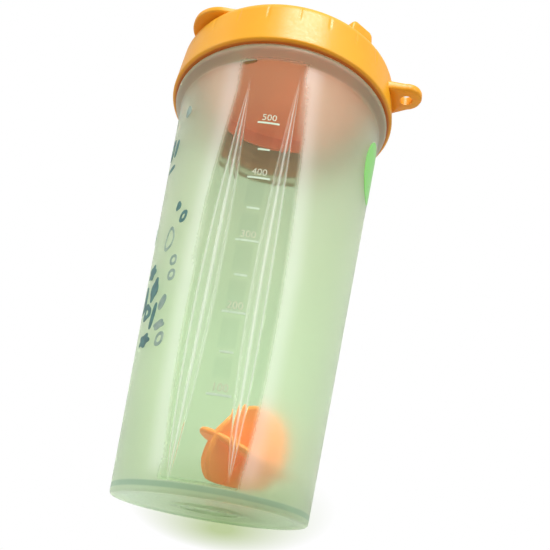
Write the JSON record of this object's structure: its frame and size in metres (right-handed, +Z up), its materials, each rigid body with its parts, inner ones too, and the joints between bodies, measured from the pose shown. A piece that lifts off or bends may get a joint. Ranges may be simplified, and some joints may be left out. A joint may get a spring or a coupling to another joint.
{
  "type": "protein shaker bottle",
  "caption": "Tapered translucent shaker cup with a clear measuring window, screw lid, hinged flip cap over a spout, lanyard eye and a loose mixing ball.",
  "frame": {"origin": "centre of the cup's flat base, on the surface it stands on", "axes": "+Z up along the cup's axis; -Y is the side with the measuring window; +X is the side with the lanyard eye"},
  "size_m": [0.1023, 0.0934, 0.1906],
  "materials": {
    "cup": "frosted translucent plastic with a clear glossy window",
    "scale_ink": "pale printed lines",
    "teal_ink": "dark teal print",
    "green_ink": "bright green print",
    "lid": "satin orange moulded plastic",
    "seal": "pale silicone",
    "ball": "satin orange moulded plastic"
  },
  "bodies": {
    "cup": {"cup_body": "cup", "graduation_scale": "scale_ink", "side_print": "teal_ink", "oval_print": "green_ink"},
    "gasket": {"lid_gasket": "seal"},
    "lid": {"screw_lid": "lid", "hinge_pin_left": "lid", "hinge_pin_right": "lid"},
    "cap": {"flip_cap": "lid", "spout_plug": "seal"},
    "ball": {"mixing_ball": "ball"}
  },
  "joints": [
    {"name": "lid_rise", "type": "slide", "parent": "cup", "child": "gasket", "axis": [0, 0, 1], "range_m": [0, 0.015]},
    {"name": "lid_turn", "type": "hinge", "parent": "gasket", "child": "lid", "pos_m": [0, 0, 0.1601], "axis": [0, 0, 1], "range_deg": [0, 1080]},
    {"name": "cap_flip", "type": "hinge", "parent": "lid", "child": "cap", "pos_m": [0, 0, 0.1844], "axis": [-0.5736, 0.8192, 0], "range_deg": [0, 135]},
    {"name": "ball_float", "type": "slide", "parent": "cup", "child": "ball", "axis": [0, 0, 1], "range_m": [0, 0.13]}
  ],
  "couplings": [
    {"joint": "lid_rise", "follows": "lid_turn", "m_per_rad": 0.00079577}
  ]
}
